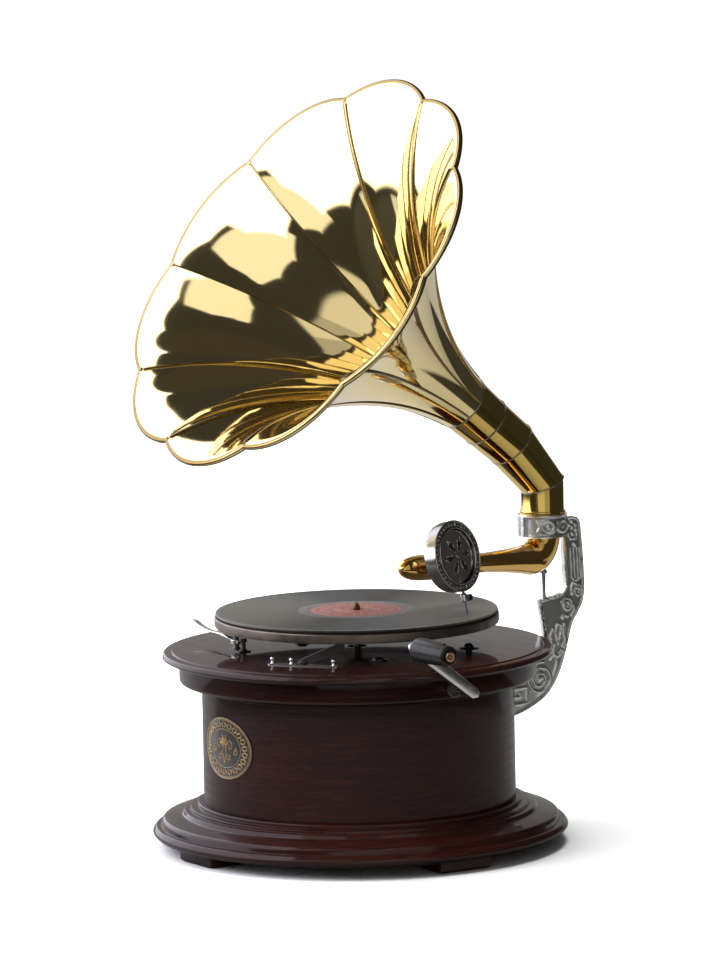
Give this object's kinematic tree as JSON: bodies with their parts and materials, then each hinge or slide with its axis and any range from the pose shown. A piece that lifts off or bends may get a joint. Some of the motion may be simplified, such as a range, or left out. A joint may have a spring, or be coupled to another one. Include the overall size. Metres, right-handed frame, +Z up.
{
  "type": "wind up phonograph",
  "caption": "Wind-up phonograph with a round wooden case, crank-wound spring motor, turntable with record, tone arm with sound box on a cast bracket, and a fluted brass horn.",
  "frame": {"origin": "on the floor, under the middle of the machine's bounding box", "axes": "+Z up, -Y towards the front with the badge and the horn's mouth, +X towards the winding crank"},
  "size_m": [0.4426, 0.4317, 0.6838],
  "materials": {
    "case_wood": "polished dark mahogany",
    "plain_wood": "unfinished board",
    "badge_enamel": "black enamel with gold line",
    "motor_steel": "plain machined",
    "spring_steel": "blued",
    "gear_brass": "machined",
    "nickel": "nickel plated",
    "sound_box_plate": "bright plated",
    "arm_brass": "polished tube",
    "mica": "clear sheet",
    "black_steel": "dark lacquer",
    "black_moulded": "glossy black",
    "rivet_copper": "polished",
    "felt": "thin felt",
    "shellac": "grooved black disc",
    "cast_silver": "relief casting, antiqued",
    "horn_brass": "polished sheet"
  },
  "bodies": {
    "case": {"base_plinth": "case_wood", "feet": "case_wood", "bottom_board": "plain_wood", "base_screws": "motor_steel", "case_drum": "case_wood", "frieze_ring": "case_wood", "deck_board": "case_wood", "front_badge": "badge_enamel", "crank_bush": "gear_brass", "motor_top_plate": "motor_steel", "motor_bottom_plate": "motor_steel", "motor_pillars": "motor_steel", "motor_spacers": "motor_steel", "motor_bolts": "nickel", "winding_bracket": "motor_steel", "governor_bearings": "motor_steel", "brake_plate": "nickel", "brake_screws": "nickel", "stop_stand": "nickel", "back_bracket": "cast_silver", "bracket_screws": "nickel", "support_pin": "nickel"},
    "click": {"ratchet_click": "motor_steel"},
    "barrel": {"mainspring_barrel": "motor_steel", "barrel_cover": "motor_steel", "mainspring": "spring_steel"},
    "arbor": {"barrel_arbor": "motor_steel", "ratchet_wheel": "motor_steel", "bevel_wheel": "motor_steel"},
    "crank": {"bevel_pinion": "motor_steel", "crank_shaft": "motor_steel", "crank_arm": "nickel", "grip_rivet": "rivet_copper"},
    "grip": {"crank_grip": "black_moulded"},
    "intermediate": {"intermediate_arbor": "motor_steel", "intermediate_wheel": "gear_brass"},
    "turntable": {"spindle": "gear_brass", "worm_wheel": "gear_brass", "turntable_platter": "black_steel", "turntable_felt": "felt", "record": "shellac"},
    "governor": {"governor_shaft": "motor_steel", "friction_disc": "gear_brass", "governor_springs": "spring_steel", "governor_weights": "gear_brass"},
    "brake": {"brake_lever": "black_steel"},
    "stop": {"stop_lever": "nickel"},
    "regulator": {"speed_knob": "black_moulded"},
    "tonearm_body": {"tonearm": "arm_brass"},
    "soundbox": {"arm_knuckle": "arm_brass", "soundbox_case": "sound_box_plate", "soundbox_grille": "sound_box_plate", "soundbox_diaphragm": "mica", "needle_bar": "sound_box_plate", "needle": "sound_box_plate"},
    "needle_clamp": {"needle_screw": "sound_box_plate"},
    "horn": {"horn_collar": "horn_brass", "horn_neck": "horn_brass", "horn_petals": "horn_brass", "horn_rim_wire": "horn_brass"}
  },
  "joints": [
    {"name": "turntable_spin", "type": "hinge", "parent": "case", "child": "turntable", "pos_m": [-0.034, -0.028, 0.209], "axis": [0, 0, 1], "continuous": true},
    {"name": "intermediate_spin", "type": "hinge", "parent": "case", "child": "intermediate", "pos_m": [-0.0112, -0.0085, 0.1], "axis": [0, 0, 1], "continuous": true},
    {"name": "barrel_spin", "type": "hinge", "parent": "case", "child": "barrel", "pos_m": [0.026, -0.028, 0.11], "axis": [0, 0, 1], "continuous": true},
    {"name": "governor_spin", "type": "hinge", "parent": "case", "child": "governor", "pos_m": [-0.034, -0.049, 0.12], "axis": [1, 0, 0], "continuous": true},
    {"name": "crank_turn", "type": "hinge", "parent": "case", "child": "crank", "pos_m": [0.116, -0.028, 0.161], "axis": [1, 0, 0], "continuous": true},
    {"name": "arbor_wind", "type": "hinge", "parent": "case", "child": "arbor", "pos_m": [0.026, -0.028, 0.15], "axis": [0, 0, 1], "continuous": true},
    {"name": "grip_spin", "type": "hinge", "parent": "crank", "child": "grip", "pos_m": [0.196, -0.092, 0.207], "axis": [1, 0, 0], "continuous": true},
    {"name": "click_swing", "type": "hinge", "parent": "case", "child": "click", "pos_m": [0.026, -0.007, 0.148], "axis": [0, 0, 1], "range_deg": [-15, 0]},
    {"name": "brake_swing", "type": "hinge", "parent": "case", "child": "brake", "pos_m": [0.034, -0.127, 0.182], "axis": [0, 0, 1], "range_deg": [-9, 15]},
    {"name": "stop_swing", "type": "hinge", "parent": "case", "child": "stop", "pos_m": [-0.084, -0.124, 0.186], "axis": [0, 0, 1], "range_deg": [-14, 10]},
    {"name": "regulator_turn", "type": "hinge", "parent": "case", "child": "regulator", "pos_m": [0.07, 0.024, 0.184], "axis": [0, 0, 1], "range_deg": [-60, 60]},
    {"name": "tonearm_swing", "type": "hinge", "parent": "case", "child": "tonearm_body", "pos_m": [-0.034, 0.174, 0.2405], "axis": [0, 0, 1], "range_deg": [-18, 12]},
    {"name": "soundbox_lift", "type": "hinge", "parent": "tonearm_body", "child": "soundbox", "pos_m": [-0.034, 0.174, 0.2405], "axis": [0.341, -0.9369, 0.0767], "range_deg": [0, 90]},
    {"name": "needle_screw_turn", "type": "hinge", "parent": "soundbox", "child": "needle_clamp", "pos_m": [0.05747, 0.02586, 0.22577], "axis": [0.9192, 0.3345, 0.2079], "range_deg": [0, 360]},
    {"name": "horn_swivel", "type": "hinge", "parent": "case", "child": "horn", "pos_m": [-0.034, 0.174, 0.29], "axis": [0, 0, 1], "range_deg": [-90, 90]}
  ],
  "couplings": [
    {"joint": "intermediate_spin", "follows": "turntable_spin", "ratio": -0.25},
    {"joint": "barrel_spin", "follows": "turntable_spin", "ratio": 0.041667},
    {"joint": "governor_spin", "follows": "turntable_spin", "ratio": 10},
    {"joint": "arbor_wind", "follows": "crank_turn", "ratio": 0.5}
  ]
}
